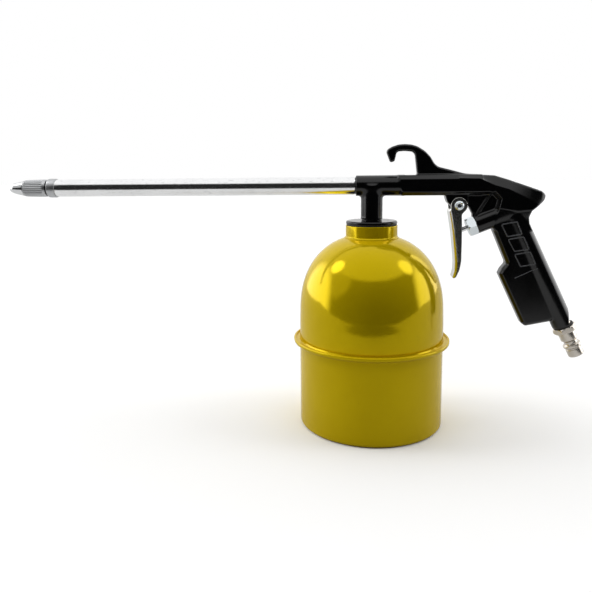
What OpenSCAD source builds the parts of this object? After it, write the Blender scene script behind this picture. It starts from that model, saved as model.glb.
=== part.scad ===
// Siphon spray gun with a bottom cup: a cast pistol-grip air gun, a long
// straight lance with an adjustable nozzle, and a two-piece pressed steel cup
// that screws onto a lid under the barrel.
// Frame: Z up, the cup stands on the plane z = 0 with its axis on Z, and the
// lance points along -X above it, in the plane y = 0.

/* [Cup] */
// Outer radius of the cup wall
cup_r = 50; // [48:0.5:52]
// Sheet thickness of the two shells
cup_wall = 0.8; // [0.7:0.1:1]
// Outer radius of the folded seam around the cup
seam_r = 54.4; // [53.6:0.2:55]
// Height of the parting plane between the two shells
seam_z = 60; // [58:0.5:62]
// Radius of the pressed corner around the base
base_corner_r = 2.4; // [1.5:0.1:4]
// Outer radius of the neck collar
neck_r = 17.8; // [17.4:0.1:18.2]
// Height of the top of the neck collar
neck_top = 140.9; // [140.5:0.1:141]

/* [Lid] */
// Radius of the lid flange
lid_r = 17.6; // [17.2:0.1:18]
// Radius of the neck thread, shared by collar and lid
thread_r = 15; // [14.5:0.1:15.2]
// Radial clearance of the screwed and turning fits
fit_gap = 0.08; // [0.05:0.01:0.1]

/* [Lance] */
// Height of the lance and barrel axis
bore_z = 168; // [167:0.5:169]
// Outer radius of the lance tube
lance_r = 6.2; // [6:0.1:6.4]
// Wall thickness of the lance tube
lance_wall = 1; // [0.8:0.1:1.2]
// Outer radius of the barrel socket
barrel_r = 7; // [6.9:0.1:7.3]

/* [Trigger] */
// Width of the trigger channel
trig_w = 15.4; // [15.2:0.1:16]
// Sheet thickness of the trigger
trig_t = 1.4; // [1.2:0.1:1.5]
// Radius of the trigger pin
pin_r = 2; // [1.8:0.1:2.2]

/* [Air valve] */
// Radius of the valve stem
stem_r = 1.6; // [1.4:0.1:1.8]
// Width across flats of the gland nut
nut_af = 12; // [11:0.5:12]
// Radius of the valve bore
valve_bore_r = 5; // [4.8:0.1:5]
// Wire radius of the return spring
spring_wire = 0.35; // [0.3:0.05:0.4]

/* [Grip] */
// Width of the grip
grip_w = 12; // [11:0.5:14]
// Width of the rear body
body_w = 15; // [14:0.5:15]
// Width of the hook
hook_w = 6.6; // [6:0.2:8]

/* [Hidden] */
$fn = 64;

yellow = [0.93, 0.80, 0.02];
black = [0.06, 0.06, 0.07];
rubber = [0.10, 0.10, 0.10];
steel = [0.75, 0.76, 0.78];
dark_steel = [0.55, 0.56, 0.58];
brass = [0.80, 0.65, 0.35];
nickel = [0.78, 0.74, 0.68];
plastic_clear = [0.85, 0.86, 0.84];

// Valve axis: from the outer face of the gland nut, rising towards the grip
valve_p = [64.6, 139];
valve_a = 22;
// Air inlet axis: end face of the inlet boss, dropping away to the rear
inlet_p = [130.6, 72.2];
inlet_a = 25.5;
// Trigger pin centre
pin_p = [57.8, 154.5];

// Places its children on the valve axis, with local Z along the axis
module on_valve(t = 0) {
  translate([valve_p[0], 0, valve_p[1]]) rotate([0, 90 - valve_a, 0]) translate([0, 0, t]) children();
}
// Places its children on the inlet axis, with local Z pointing out of the grip
module on_inlet(t = 0) {
  translate([inlet_p[0], 0, inlet_p[1]]) rotate([0, 180 - inlet_a, 0]) translate([0, 0, t]) children();
}
// Places its children on the lance axis at x, with local Z along -X
module on_lance(x = 0) {
  translate([x, 0, bore_z]) rotate([0, -90, 0]) children();
}
// A plate of the given width, cut to an outline in X and Z
module plate(w, pts) {
  translate([0, w / 2, 0]) rotate([90, 0, 0]) linear_extrude(w) polygon(pts);
}
// A plain ring
module ring(ro, ri, h) {
  difference() {
    cylinder(r = ro, h = h);
    translate([0, 0, -1]) cylinder(r = ri, h = h + 2);
  }
}
// A ring of round section
module o_ring(rm, rw) {
  rotate_extrude() translate([rm, 0]) circle(r = rw, $fn = 24);
}

// ---------------------------------------------------------------- cup
dome_z0 = 80.3;
dome_b = 54.4;
dome_n = 2.286;
// Radius of the dome, seen from outside, at a height above its spring line
function dome_r(h, a, b) = a * pow(1 - pow(h / b, dome_n), 1 / dome_n);
// Points up the dome at equal angles, for an outline of radius a and height b
function dome_pts(a, b, h_end, n) = [for (i = [0:n]) let (h = h_end * sin(90 * i / n)) [dome_r(h, a, b), dome_z0 + h]];

module cup_lower_shell() {
  ri = cup_r - cup_wall;
  ci = base_corner_r - cup_wall;
  color(yellow) rotate_extrude($fn = 128) difference() {
    union() {
      // base with a pressed corner, and the wall
      square([cup_r - base_corner_r, 5]);
      translate([cup_r - base_corner_r, base_corner_r]) circle(r = base_corner_r, $fn = 48);
      translate([0, base_corner_r]) square([cup_r, seam_z - base_corner_r]);
      // folded seam
      translate([cup_r - 2, seam_z - 1.1]) square([seam_r - 1.2 - cup_r + 2, 2.9]);
      translate([seam_r - 1.45, seam_z + 0.35]) circle(r = 1.45, $fn = 48);
    }
    // hollow
    translate([-1, cup_wall + ci]) square([1 + ri, 90]);
    translate([-1, cup_wall]) square([1 + ri - ci, 90]);
    translate([ri - ci, cup_wall + ci]) circle(r = ci, $fn = 48);
    // slot that grips the dome's rim
    translate([cup_r - 3, seam_z]) square([seam_r - 1.6 - cup_r + 3, cup_wall]);
    // clear of the dome wall above its rim
    translate([-1, seam_z]) square([1 + cup_r, 20]);
  }
}

module cup_dome_shell() {
  n = 26;
  h_out = 52.05;
  outer = concat([[cup_r, seam_z + cup_wall], [cup_r, dome_z0 - 6]], [for (p = dome_pts(cup_r - 0.2, dome_b, h_out, n)) p]);
  ri = cup_r - cup_wall;
  inner = concat([[ri, seam_z - 0.01], [ri, dome_z0 - 6]], [for (p = dome_pts(ri - 0.2, dome_b - cup_wall, h_out - 0.4, n)) p]);
  no = len(outer);
  color(yellow) rotate_extrude($fn = 128) difference() {
    union() {
      polygon(concat([[0, seam_z], [cup_r, seam_z]], outer, [[0, outer[no - 1][1]]]));
      // rim that lies in the seam
      translate([cup_r - 1, seam_z]) square([seam_r - 1.6 - cup_r + 1, cup_wall]);
    }
    polygon(concat([[-1, seam_z - 1], [ri, seam_z - 1]], inner, [[-1, inner[no - 1][1]]]));
    // mouth under the neck collar
    translate([-1, dome_z0]) square([thread_r + 1.6 + 1, 80]);
  }
}

module cup_neck_collar() {
  // threaded collar, brazed into the mouth of the dome
  color(yellow) difference() {
    union() {
      translate([0, 0, 132.35]) cylinder(r = neck_r, h = neck_top - 132.35 - 0.5);
      translate([0, 0, neck_top - 0.5]) cylinder(r1 = neck_r, r2 = neck_r - 0.5, h = 0.5);
      translate([0, 0, 129.6]) cylinder(r = thread_r + 1.55, h = 4);
    }
    translate([0, 0, 120]) cylinder(r = thread_r, h = 40);
  }
}

// ---------------------------------------------------------------- lid
gasket_z = neck_top + 0.3;

module cup_lid() {
  // flanged plug that screws into the neck, with a hole for the stem and an air vent
  color(black) difference() {
    union() {
      translate([0, 0, gasket_z + 0.8]) cylinder(r = lid_r, h = 1.5);
      translate([0, 0, gasket_z + 2.3]) cylinder(r1 = lid_r, r2 = lid_r - 0.6, h = 0.6);
      translate([0, 0, 133.4]) cylinder(r = thread_r - fit_gap, h = gasket_z + 1 - 133.4);
    }
    translate([0, 0, 130]) cylinder(r = 5, h = 20);
    // hollow under side
    translate([0, 0, 133]) cylinder(r = 12.4, h = 5.6);
    // air vent
    translate([11.2, 0, 130]) cylinder(r = 0.7, h = 20);
  }
}

module lid_gasket() {
  color(rubber) translate([0, 0, gasket_z]) ring(lid_r - 0.3, thread_r + 0.1, 0.8);
}

module stem_washer() {
  color(dark_steel) translate([0, 0, gasket_z + 2.9]) ring(7, 5, 0.9);
}

module lid_nut() {
  color(steel) translate([0, 0, 134]) difference() {
    cylinder(r = 8 / cos(30), h = 4.6, $fn = 6);
    translate([0, 0, -1]) cylinder(r = 5, h = 8);
  }
}

module siphon_tube() {
  // rigid dip tube, pressed up into the stem
  color(plastic_clear) translate([0, 0, 9]) ring(3, 2, 141 - 9);
}

module siphon_strainer() {
  // slotted foot strainer on the end of the dip tube
  color(plastic_clear) difference() {
    union() {
      translate([0, 0, 3.5]) cylinder(r1 = 4.2, r2 = 5, h = 1.2);
      translate([0, 0, 4.7]) cylinder(r = 5, h = 10.3);
      translate([0, 0, 15]) cylinder(r1 = 5, r2 = 3.8, h = 2);
    }
    translate([0, 0, 9]) cylinder(r = 3, h = 20);
    translate([0, 0, 5]) cylinder(r = 3.4, h = 4);
    for (a = [0:60:120]) rotate([0, 0, a]) translate([-6, -0.6, 5.2]) cube([12, 1.2, 3.4]);
  }
}

// ---------------------------------------------------------------- gun body
// Outlines in X and Z
rear_top = [[70, 161], [70, 175], [81, 174.3], [90, 171.4], [112.4, 163.5], [114.4, 160.5], [112.9, 157.7], [100, 156]];
rear_side = [[58, 161], [58, 172.6], [70.6, 172.6], [80.4, 167.9], [89.6, 165.2], [104.4, 157.6], [112.9, 160.6], [112.9, 157.7], [105, 151.1], [103.4, 146.6], [103.8, 143], [106, 137.4], [92, 132], [81.4, 136.8], [80, 137.6], [83.6, 152.6], [85, 157.4], [84, 161]];
grip_front = [[80.8, 137.2], [90.5, 115], [87.3, 111], [85.8, 107.8], [99.8, 78.2], [101.9, 73.7], [104.4, 71.6], [122, 75.2], [128.6, 77.6], [94.6, 148], [84, 150]];
hook = [[30.2, 174], [28.6, 189.2], [27, 190.6], [21.6, 191.2], [17.6, 190.9], [16.3, 189.8], [15.1, 184.4], [14.2, 183.5], [12.2, 183.3], [9.6, 190.2], [10.2, 192], [13.4, 194.2], [17.6, 195.5], [21.6, 195.8], [26, 195.5], [30.2, 194.3], [35.2, 191], [38.8, 187.2], [41.6, 182.6], [44.2, 180.4], [52.4, 178.2], [62.4, 175.6], [72, 174.4], [72, 170], [32, 170]];

module gun_body() {
  color(black) difference() {
    union() {
      // barrel socket
      translate([-11, 0, bore_z]) rotate([0, 90, 0]) cylinder(r = barrel_r, h = 34);
      // beam behind the barrel, with chamfered corners
      translate([17, 0, 0]) rotate([90, 0, 90]) linear_extrude(57)
        polygon([[-7.1, 163.6], [-7.1, 172.2], [-4.2, 175], [4.2, 175], [7.1, 172.2], [7.1, 163.6], [4.8, 161.2], [-4.8, 161.2]]);
      // hook
      plate(hook_w, hook);
      // rear body: full side plates, a raised spine above them
      plate(body_w, rear_side);
      plate(6, rear_top);
      // grip
      plate(grip_w, grip_front);
      // air tube down the back of the grip
      on_inlet(-84) cylinder(r = 7.2, h = 80);
      // web under the beam
      plate(6, [[63.9, 162], [63.9, 155.6], [67.2, 148.9], [68, 146], [82, 146], [86, 152], [86, 162]]);
      // trigger bracket
      plate(trig_w - 2 * trig_t - 1.6, [[48.6, 162], [50.4, 156.4], [52.2, 154.6], [54.6, 150.8], [57.7, 149.7], [60.6, 150.8], [62.4, 153.4], [63.9, 157], [63.9, 162]]);
      // siphon stem, with a threaded spigot through the lid
      translate([0, 0, gasket_z + 3.8]) cylinder(r = 7.4, h = bore_z - gasket_z - 3.8);
      translate([0, 0, 133.6]) cylinder(r = 5, h = 14);
      // valve boss
      on_valve(5.8) cylinder(r = 6.5, h = 26);
      // inlet boss
      on_inlet(-9) cylinder(r = 7.2, h = 9);
    }
    // barrel bore, air gallery behind it
    on_lance(14) cylinder(r = 5, h = 26);
    translate([10, 0, bore_z]) rotate([0, 90, 0]) cylinder(r = 3.2, h = 70);
    // siphon passage up the stem
    translate([0, 0, 130]) cylinder(r = 3, h = 11);
    translate([0, 0, 130]) cylinder(r = 2.2, h = 36);
    // valve bore
    on_valve(5) cylinder(r = valve_bore_r, h = 30);
    // passage from the valve chamber up to the gallery
    translate([77.6, 0, 144.5]) cylinder(r = 1.9, h = 22);
    // inlet thread and air passage up the grip
    on_inlet(-11) cylinder(r = 5, h = 12);
    on_inlet(-86.6) cylinder(r = 3.2, h = 80);
    // trigger pin hole
    translate([pin_p[0], 0, pin_p[1]]) rotate([90, 0, 0]) translate([0, 0, -20]) cylinder(r = pin_r, h = 40);
  }
}

// ---------------------------------------------------------------- lance
lance_x0 = -11;
lance_x1 = -231.5;

module lance_tube() {
  color(steel) difference() {
    union() {
      on_lance(lance_x0 - 1) cylinder(r = lance_r, h = lance_x0 - 1 - lance_x1);
      on_lance(lance_x0) cylinder(r1 = lance_r - 0.6, r2 = lance_r, h = 1);
      on_lance(lance_x0 + 6) cylinder(r = 5, h = 8);
    }
    on_lance(lance_x0 + 7) cylinder(r = 4.1, h = 14);
    on_lance(lance_x0 - 6) cylinder(r = lance_r - lance_wall, h = 260);
  }
}

module lance_seal() {
  color(rubber) on_lance(-4.2) ring(5, 4.1, 0.8);
}

module inner_fluid_tube() {
  color(brass) on_lance(-2.4) ring(3, 2, 245.1);
}

module fluid_bush() {
  // seals the siphon passage to the inner tube; air passes at its two flats
  color(brass) difference() {
    union() {
      on_lance(4) cylinder(r = 5, h = 8);
      on_lance(-4) cylinder(r = 4, h = 4);
    }
    on_lance(-2.4) cylinder(r = 3, h = 8);
    on_lance(2.5) cylinder(r = 2, h = 8);
    translate([0, 0, bore_z - 9]) cylinder(r = 2, h = 9);
    for (s = [-1, 1]) translate([-10, s * 3.5 - (s < 0 ? 4 : 0), bore_z - 6]) cube([20, 4, 12]);
  }
}

// ---------------------------------------------------------------- nozzle
module nozzle_collar() {
  // fixed collar on the end of the lance, with the male thread for the sleeve
  color(dark_steel) difference() {
    union() {
      on_lance(-227.4) cylinder(r = 6.8, h = 5.3);
      on_lance(-226.6) cylinder(r1 = 6.5, r2 = 6.8, h = 0.8);
      on_lance(-231.5) cylinder(r = 4.9, h = 13.6);
    }
    on_lance(-220) cylinder(r = lance_r, h = 11.5);
    on_lance(-230) cylinder(r = 3.8, h = 30);
  }
}

module fluid_tip() {
  // jet on the end of the inner tube, inside the nozzle
  color(brass) difference() {
    union() {
      on_lance(-245.5) cylinder(r = 3.5, h = 5);
      on_lance(-250.5) cylinder(r1 = 3.2, r2 = 1.4, h = 6.6);
    }
    on_lance(-238.5) cylinder(r = 3, h = 9);
    on_lance(-238.5) cylinder(r = 0.8, h = 30);
  }
}

module nozzle_o_ring() {
  color(rubber) on_lance(-233.4) o_ring(5.33, 0.35);
}

module nozzle_sleeve() {
  // knurled adjusting sleeve, straight knurl on a slight taper
  color(dark_steel) difference() {
    union() {
      on_lance(-234.1) cylinder(r1 = 5.95, r2 = 6.2, h = 0.6);
      on_lance(-234.7) cylinder(r = 6.2, h = 1);
      on_lance(-235.7) cylinder(r1 = 6.2, r2 = 5.8, h = 15.2);
      on_lance(-250.9) cylinder(r1 = 5.8, r2 = 5.5, h = 0.4);
      // knurl ribs
      for (i = [0:29]) on_lance(-236.1) rotate([0, 0, 12 * i])
        rotate([0, -1.2, 0]) translate([6.05, -0.3, 0]) cube([0.32, 0.6, 14.2]);
    }
    on_lance(-228.5) cylinder(r = 4.9 + fit_gap, h = 18);
    on_lance(-238.5) cylinder(r = 4.6, h = 20);
  }
}

module nozzle_tip() {
  // conical spray tip, clamped in the sleeve
  color(steel) difference() {
    union() {
      on_lance(-246.9) cylinder(r = 4.6, h = 4.4);
      on_lance(-251.3) cylinder(r1 = 5.65, r2 = 3.7, h = 8.4);
      on_lance(-259.7) cylinder(r1 = 3.7, r2 = 2.5, h = 2.4);
    }
    on_lance(-238.5) cylinder(r = 3.9, h = 12.8);
    on_lance(-251.2) cylinder(r1 = 3.9, r2 = 1.9, h = 6.9);
    on_lance(-238.5) cylinder(r = 1.6, h = 30);
  }
}

// ---------------------------------------------------------------- trigger
// Front edge and rear edge of the side plates, top to bottom
trig_front = [[50.9, 153], [52.4, 145], [53.8, 136.6], [55.2, 125], [56.1, 116], [56, 110], [54.6, 104.4]];
trig_rear = [[57, 105.6], [59.3, 110.8], [60.2, 116.6], [60.2, 129.6], [60, 141], [59.6, 149.6]];
// The front edge moved back by dx, for the steps of the fold
function trig_line(dx) = [for (p = trig_front) [p[0] + dx, p[1]]];

module trigger() {
  nf = len(trig_front);
  color(steel) difference() {
    union() {
      // channel: the full profile in three steps that follow the rounded fold
      plate(trig_w, concat(trig_line(1.9), trig_rear));
      plate(trig_w - 1.4, concat(trig_line(0.7), trig_rear));
      plate(trig_w - 4, concat(trig_front, trig_rear));
      // ears
      for (s = [-1, 1]) translate([pin_p[0], s * (trig_w - trig_t) / 2, pin_p[1]])
        rotate([90, 0, 0]) translate([0, 0, -trig_t / 2]) cylinder(r = 5.5, h = trig_t);
    }
    // inside of the channel, a sheet thickness behind the front face
    plate(trig_w - 2 * trig_t - 0.6, concat([for (p = trig_front) [p[0] + trig_t, p[1] - (p[1] < 105 ? 1 : 0)]], [[70, 104], [70, 175], [51, 175], [51.4, 153.4]]));
    plate(trig_w - 2 * trig_t, concat([for (p = trig_front) [p[0] + trig_t + 1.3, p[1] - (p[1] < 105 ? 1 : 0)]], [[70, 104], [70, 175], [51, 175], [51.4, 153.4]]));
    translate([pin_p[0], 0, pin_p[1]]) rotate([90, 0, 0]) translate([0, 0, -20]) cylinder(r = pin_r + fit_gap, h = 40);
  }
}

module trigger_pin() {
  color(steel) translate([pin_p[0], 0, pin_p[1]]) rotate([90, 0, 0]) difference() {
    union() {
      translate([0, 0, -trig_w / 2 - 1.8]) cylinder(r = pin_r, h = trig_w + 2.2);
      translate([0, 0, trig_w / 2 + 0.3]) cylinder(r = 3.1, h = 0.5);
      translate([0, 0, trig_w / 2 + 0.8]) cylinder(r1 = 3.1, r2 = 2.2, h = 0.5);
    }
    // groove for the clip at the far end
    translate([0, 0, -trig_w / 2 - 1.05]) ring(4, 1.5, 0.7);
  }
}

module pin_clip() {
  color(dark_steel) translate([pin_p[0], trig_w / 2 + 0.35, pin_p[1]]) rotate([-90, 0, 0]) difference() {
    cylinder(r = 3.6, h = 0.7);
    translate([0, 0, -1]) cylinder(r = 1.5, h = 3);
    translate([-1.3, 0, -1]) cube([2.6, 6, 3]);
  }
}

// ---------------------------------------------------------------- air valve
module gland_nut() {
  color(steel) on_valve() difference() {
    union() {
      rotate([0, 0, 30]) intersection() {
        cylinder(r = nut_af / 2 / cos(30), h = 5.8, $fn = 6);
        union() {
          cylinder(r1 = nut_af / 2 + 0.1, r2 = nut_af / 2 + 0.9, h = 0.6);
          translate([0, 0, 0.6]) cylinder(r = nut_af / 2 + 0.9, h = 5.2);
        }
      }
      translate([0, 0, 5.8]) cylinder(r = valve_bore_r, h = 6.2);
    }
    translate([0, 0, -1]) cylinder(r = stem_r + fit_gap, h = 20);
    translate([0, 0, 8.4]) cylinder(r = 3.2, h = 5);
  }
}

module stem_o_ring() {
  color(rubber) on_valve(9.2) o_ring(2.44, 0.75);
}

module valve_seat() {
  color(brass) on_valve(16.6) difference() {
    union() {
      cylinder(r = valve_bore_r, h = 3.4);
      cylinder(r = 3.4, h = 4);
    }
    translate([0, 0, -1]) cylinder(r = 2.5, h = 8);
  }
}

module valve_stem() {
  color(steel) union() {
    on_valve(-8.7) cylinder(r = stem_r, h = 32.9);
    on_valve(-9.3) cylinder(r1 = stem_r - 0.7, r2 = stem_r, h = 0.6);
  }
}

module valve_poppet() {
  color(brass) on_valve() difference() {
    union() {
      translate([0, 0, 22.2]) cylinder(r = 4.2, h = 2.4);
      translate([0, 0, 24.6]) cylinder(r = 2.6, h = 2.4);
    }
    translate([0, 0, 20]) cylinder(r = stem_r, h = 4.2);
  }
}

module poppet_seal() {
  color(rubber) on_valve(20.9) ring(4, stem_r, 1.3);
}

// Coil of the return spring, swept along a helix
function coil_pt(t, r, turns, h) = [r * cos(360 * turns * t), r * sin(360 * turns * t), h * t];
module return_spring() {
  turns = 5; rr = 3.4; hh = 9.6; m = 16; n = turns * m; k = 8;
  function frame_pt(i, j) = let (t = i / n, c = coil_pt(t, rr, turns, hh), a = 360 * turns * t, b = 360 * j / k)
    [c[0] + spring_wire * cos(b) * cos(a), c[1] + spring_wire * cos(b) * sin(a), c[2] + spring_wire * sin(b)];
  pts = [for (i = [0:n]) for (j = [0:k - 1]) frame_pt(i, j)];
  faces = concat(
    [for (i = [0:n - 1]) for (j = [0:k - 1]) [i * k + j, i * k + (j + 1) % k, (i + 1) * k + (j + 1) % k, (i + 1) * k + j]],
    [[for (j = [k - 1:-1:0]) j]],
    [[for (j = [0:k - 1]) n * k + j]]);
  color(steel) on_valve(25.0) polyhedron(points = pts, faces = faces);
}

// ---------------------------------------------------------------- air inlet
module plug_washer() {
  color(rubber) on_inlet(0) ring(6.6, 5, 0.8);
}

module air_plug() {
  // quick-connect plug, screwed into the inlet boss
  color(nickel) difference() {
    union() {
      on_inlet(-9) cylinder(r = 5, h = 10);
      on_inlet(0.8) intersection() {
        cylinder(r = 7 / cos(30), h = 4, $fn = 6);
        union() {
          cylinder(r1 = 7.2, r2 = 8.2, h = 0.7);
          translate([0, 0, 0.7]) cylinder(r = 8.2, h = 2.6);
          translate([0, 0, 3.3]) cylinder(r1 = 8.2, r2 = 7.2, h = 0.7);
        }
      }
      on_inlet(4.8) cylinder(r = 5.6, h = 5.6);
      on_inlet(10.4) cylinder(r1 = 5.6, r2 = 4.3, h = 1.4);
      on_inlet(11.8) cylinder(r = 4.3, h = 1.8);
      on_inlet(13.6) cylinder(r1 = 4.3, r2 = 5.9, h = 0.9);
      on_inlet(14.5) cylinder(r = 5.9, h = 1.4);
      on_inlet(15.9) cylinder(r1 = 5.9, r2 = 4.9, h = 0.9);
      on_inlet(16.8) cylinder(r = 4.9, h = 0.8);
      on_inlet(17.6) cylinder(r = 5.25, h = 4.8);
      on_inlet(22.4) cylinder(r1 = 5.25, r2 = 4.7, h = 0.6);
    }
    on_inlet(-10) cylinder(r = 3, h = 40);
    on_inlet(22) cylinder(r1 = 3, r2 = 3.6, h = 1.2);
  }
}

cup_lower_shell();
cup_dome_shell();
cup_neck_collar();
cup_lid();
lid_gasket();
stem_washer();
lid_nut();
siphon_tube();
siphon_strainer();
gun_body();
lance_tube();
lance_seal();
inner_fluid_tube();
fluid_bush();
nozzle_collar();
fluid_tip();
nozzle_o_ring();
nozzle_sleeve();
nozzle_tip();
trigger();
trigger_pin();
pin_clip();
gland_nut();
stem_o_ring();
valve_seat();
valve_stem();
valve_poppet();
poppet_seal();
return_spring();
plug_washer();
air_plug();
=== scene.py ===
import math
import bpy
import numpy as np
from mathutils import Matrix, Vector


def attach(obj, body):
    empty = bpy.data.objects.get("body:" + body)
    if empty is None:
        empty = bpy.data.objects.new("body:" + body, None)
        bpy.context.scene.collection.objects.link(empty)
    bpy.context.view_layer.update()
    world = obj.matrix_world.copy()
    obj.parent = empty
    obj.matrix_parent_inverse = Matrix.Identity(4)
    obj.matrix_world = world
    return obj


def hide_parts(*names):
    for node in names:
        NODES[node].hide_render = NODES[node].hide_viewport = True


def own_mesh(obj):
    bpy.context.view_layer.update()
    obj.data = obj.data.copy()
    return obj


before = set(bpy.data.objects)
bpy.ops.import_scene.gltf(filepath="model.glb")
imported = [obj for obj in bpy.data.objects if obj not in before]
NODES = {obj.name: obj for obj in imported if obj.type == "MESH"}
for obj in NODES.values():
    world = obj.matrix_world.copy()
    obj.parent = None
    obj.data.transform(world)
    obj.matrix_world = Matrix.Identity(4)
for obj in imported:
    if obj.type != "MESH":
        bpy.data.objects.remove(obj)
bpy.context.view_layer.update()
MM = 0.001

# ------------------------------------------------------------------ sizes, in mm, the same as the CAD
BORE_Z = 168.0
VALVE_P, VALVE_A = (64.6, 139.0), 22.0
INLET_P, INLET_A = (130.6, 72.2), 25.5
PIN_P = (57.8, 154.5)
TRIG_W, TRIG_T = 15.4, 1.4
GRIP_W, BODY_W, HOOK_W = 12.0, 15.0, 6.6
GASKET_Z = 141.2


def axis_frame(p, ang, up):
    """Local Z along an axis in the XZ plane: up for the valve, down for the inlet."""
    a = math.radians(ang)
    if up == "valve":
        z = Vector((math.cos(a), 0, math.sin(a)))
    elif up == "inlet":
        z = Vector((math.sin(a), 0, -math.cos(a)))
    y = Vector((0, 1, 0))
    x = y.cross(z)
    return Matrix(((x.x, y.x, z.x, p[0]), (x.y, y.y, z.y, 0), (x.z, y.z, z.z, p[1]), (0, 0, 0, 1)))


VALVE = axis_frame(VALVE_P, VALVE_A, "valve")
INLET = axis_frame(INLET_P, INLET_A, "inlet")
UPRIGHT = Matrix.Identity(4)


def lance_frame(x=0.0):
    """Local Z along -X on the lance axis."""
    return Matrix(((0, 0, -1, x), (0, 1, 0, 0), (1, 0, 0, BORE_Z), (0, 0, 0, 1)))


# ------------------------------------------------------------------ mesh helpers
def to_object(name, verts, faces, matrix=None, sharp=32.0, smooth=True):
    """A mesh object from millimetre points, placed by baking the matrix into its vertices."""
    v = np.asarray(verts, dtype=np.float64)
    if matrix is not None:
        m = np.array(matrix)
        v = v @ m[:3, :3].T + m[:3, 3]
    me = bpy.data.meshes.new(name)
    me.from_pydata((v * MM).tolist(), [], [tuple(f) for f in faces])
    me.validate()
    me.update()
    if smooth:
        me.polygons.foreach_set("use_smooth", [True] * len(me.polygons))
        if sharp:
            me.set_sharp_from_angle(angle=math.radians(sharp))
    ob = bpy.data.objects.new(name, me)
    bpy.context.scene.collection.objects.link(ob)
    return ob


def round_path(pts, radii, closed=False, steps=5):
    """A polyline whose corners are turned into arcs of the given radii."""
    n = len(pts)
    out = []
    for i in range(n):
        p = np.array(pts[i][:2], float)
        r = radii[i] if hasattr(radii, "__len__") else radii
        if (not closed and i in (0, n - 1)) or r <= 0:
            out.append(tuple(p))
            continue
        a = np.array(pts[(i - 1) % n][:2], float) - p
        b = np.array(pts[(i + 1) % n][:2], float) - p
        la, lb = np.linalg.norm(a), np.linalg.norm(b)
        a, b = a / la, b / lb
        ang = math.acos(max(-1, min(1, float(a @ b))))
        if ang > math.pi - 0.03:
            out.append(tuple(p))
            continue
        t = min(r / math.tan(ang / 2), 0.48 * la, 0.48 * lb)
        rr = t * math.tan(ang / 2)
        mid = (a + b) / np.linalg.norm(a + b)
        c = p + mid * (rr / math.sin(ang / 2))
        p0, p1 = p + a * t - c, p + b * t - c
        a0, a1 = math.atan2(p0[1], p0[0]), math.atan2(p1[1], p1[0])
        d = (a1 - a0 + math.pi) % (2 * math.pi) - math.pi
        for k in range(steps + 1):
            w = a0 + d * k / steps
            out.append((c[0] + rr * math.cos(w), c[1] + rr * math.sin(w)))
    return out


def lathe(name, profile, matrix=UPRIGHT, segs=144, closed=True, radius=None, sharp=32.0):
    """Turns a profile of (r, t) points about local Z. radius(r, t, angle) may reshape it."""
    prof = [(max(float(r), 0.0), float(t)) for r, t in profile]
    n = len(prof)
    ang = np.arange(segs) * 2 * math.pi / segs
    verts, rows = [], []
    for r, t in prof:
        if r < 1e-6:
            rows.append([len(verts)] * segs)
            verts.append((0.0, 0.0, t))
            continue
        rr = np.full(segs, r) if radius is None else np.array([radius(r, t, a) for a in ang])
        rows.append(list(range(len(verts), len(verts) + segs)))
        verts += [(rr[k] * math.cos(ang[k]), rr[k] * math.sin(ang[k]), t) for k in range(segs)]
    faces = []
    for i in range(n if closed else n - 1):
        a, b = rows[i], rows[(i + 1) % n]
        if a[0] == a[1] and b[0] == b[1]:
            continue
        for k in range(segs):
            q = [a[k], a[(k + 1) % segs], b[(k + 1) % segs], b[k]]
            f = [v for j, v in enumerate(q) if v != q[j - 1]]
            if len(f) >= 3:
                faces.append(f)
    ob = to_object(name, verts, faces, matrix, sharp)
    fix_normals(ob)
    return ob


def fix_normals(ob):
    """Faces point outwards: the signed volume is made positive."""
    me = ob.data
    n = len(me.vertices)
    co = np.empty(n * 3)
    me.vertices.foreach_get("co", co)
    co = co.reshape(-1, 3)
    me.calc_loop_triangles()
    tri = np.empty(len(me.loop_triangles) * 3, dtype=np.int32)
    me.loop_triangles.foreach_get("vertices", tri)
    tri = tri.reshape(-1, 3)
    vol = np.einsum("ij,ij->i", co[tri[:, 0]], np.cross(co[tri[:, 1]], co[tri[:, 2]])).sum()
    if vol < 0:
        me.flip_normals()


# ------------------------------------------------------------------ solid shapes by distance fields
def sd_poly(pts, X, Z):
    """Signed distance to a polygon, negative inside, on 2D arrays."""
    p = np.array(pts, float)
    d = np.full(X.shape, 1e12)
    ins = np.zeros(X.shape, bool)
    for i in range(len(p)):
        a, b = p[i], p[(i + 1) % len(p)]
        e = b - a
        if e @ e < 1e-12:
            continue
        wx, wz = X - a[0], Z - a[1]
        t = np.clip((wx * e[0] + wz * e[1]) / (e @ e), 0, 1)
        d = np.minimum(d, (wx - t * e[0]) ** 2 + (wz - t * e[1]) ** 2)
        if abs(e[1]) > 1e-12:
            c = ((a[1] <= Z) != (b[1] <= Z)) & (X < a[0] + (Z - a[1]) * e[0] / e[1])
            ins ^= c
    d = np.sqrt(d)
    return np.where(ins, -d, d)


def rounded(q0, q1, r):
    """Intersection of two distances with its edge rounded to radius r."""
    a, b = q0 + r, q1 + r
    return np.minimum(np.maximum(a, b), 0) + np.sqrt(np.maximum(a, 0) ** 2 + np.maximum(b, 0) ** 2) - r


def smin(a, b, k):
    """Union of two distances with a fillet of about k."""
    h = np.clip(0.5 + 0.5 * (b - a) / k, 0, 1)
    return b + (a - b) * h - k * h * (1 - h)


def grid(lo, hi, h):
    n = [int(math.ceil((hi[i] - lo[i]) / h)) + 1 for i in range(3)]
    return [lo[i] + h * np.arange(n[i]) for i in range(3)]


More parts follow.
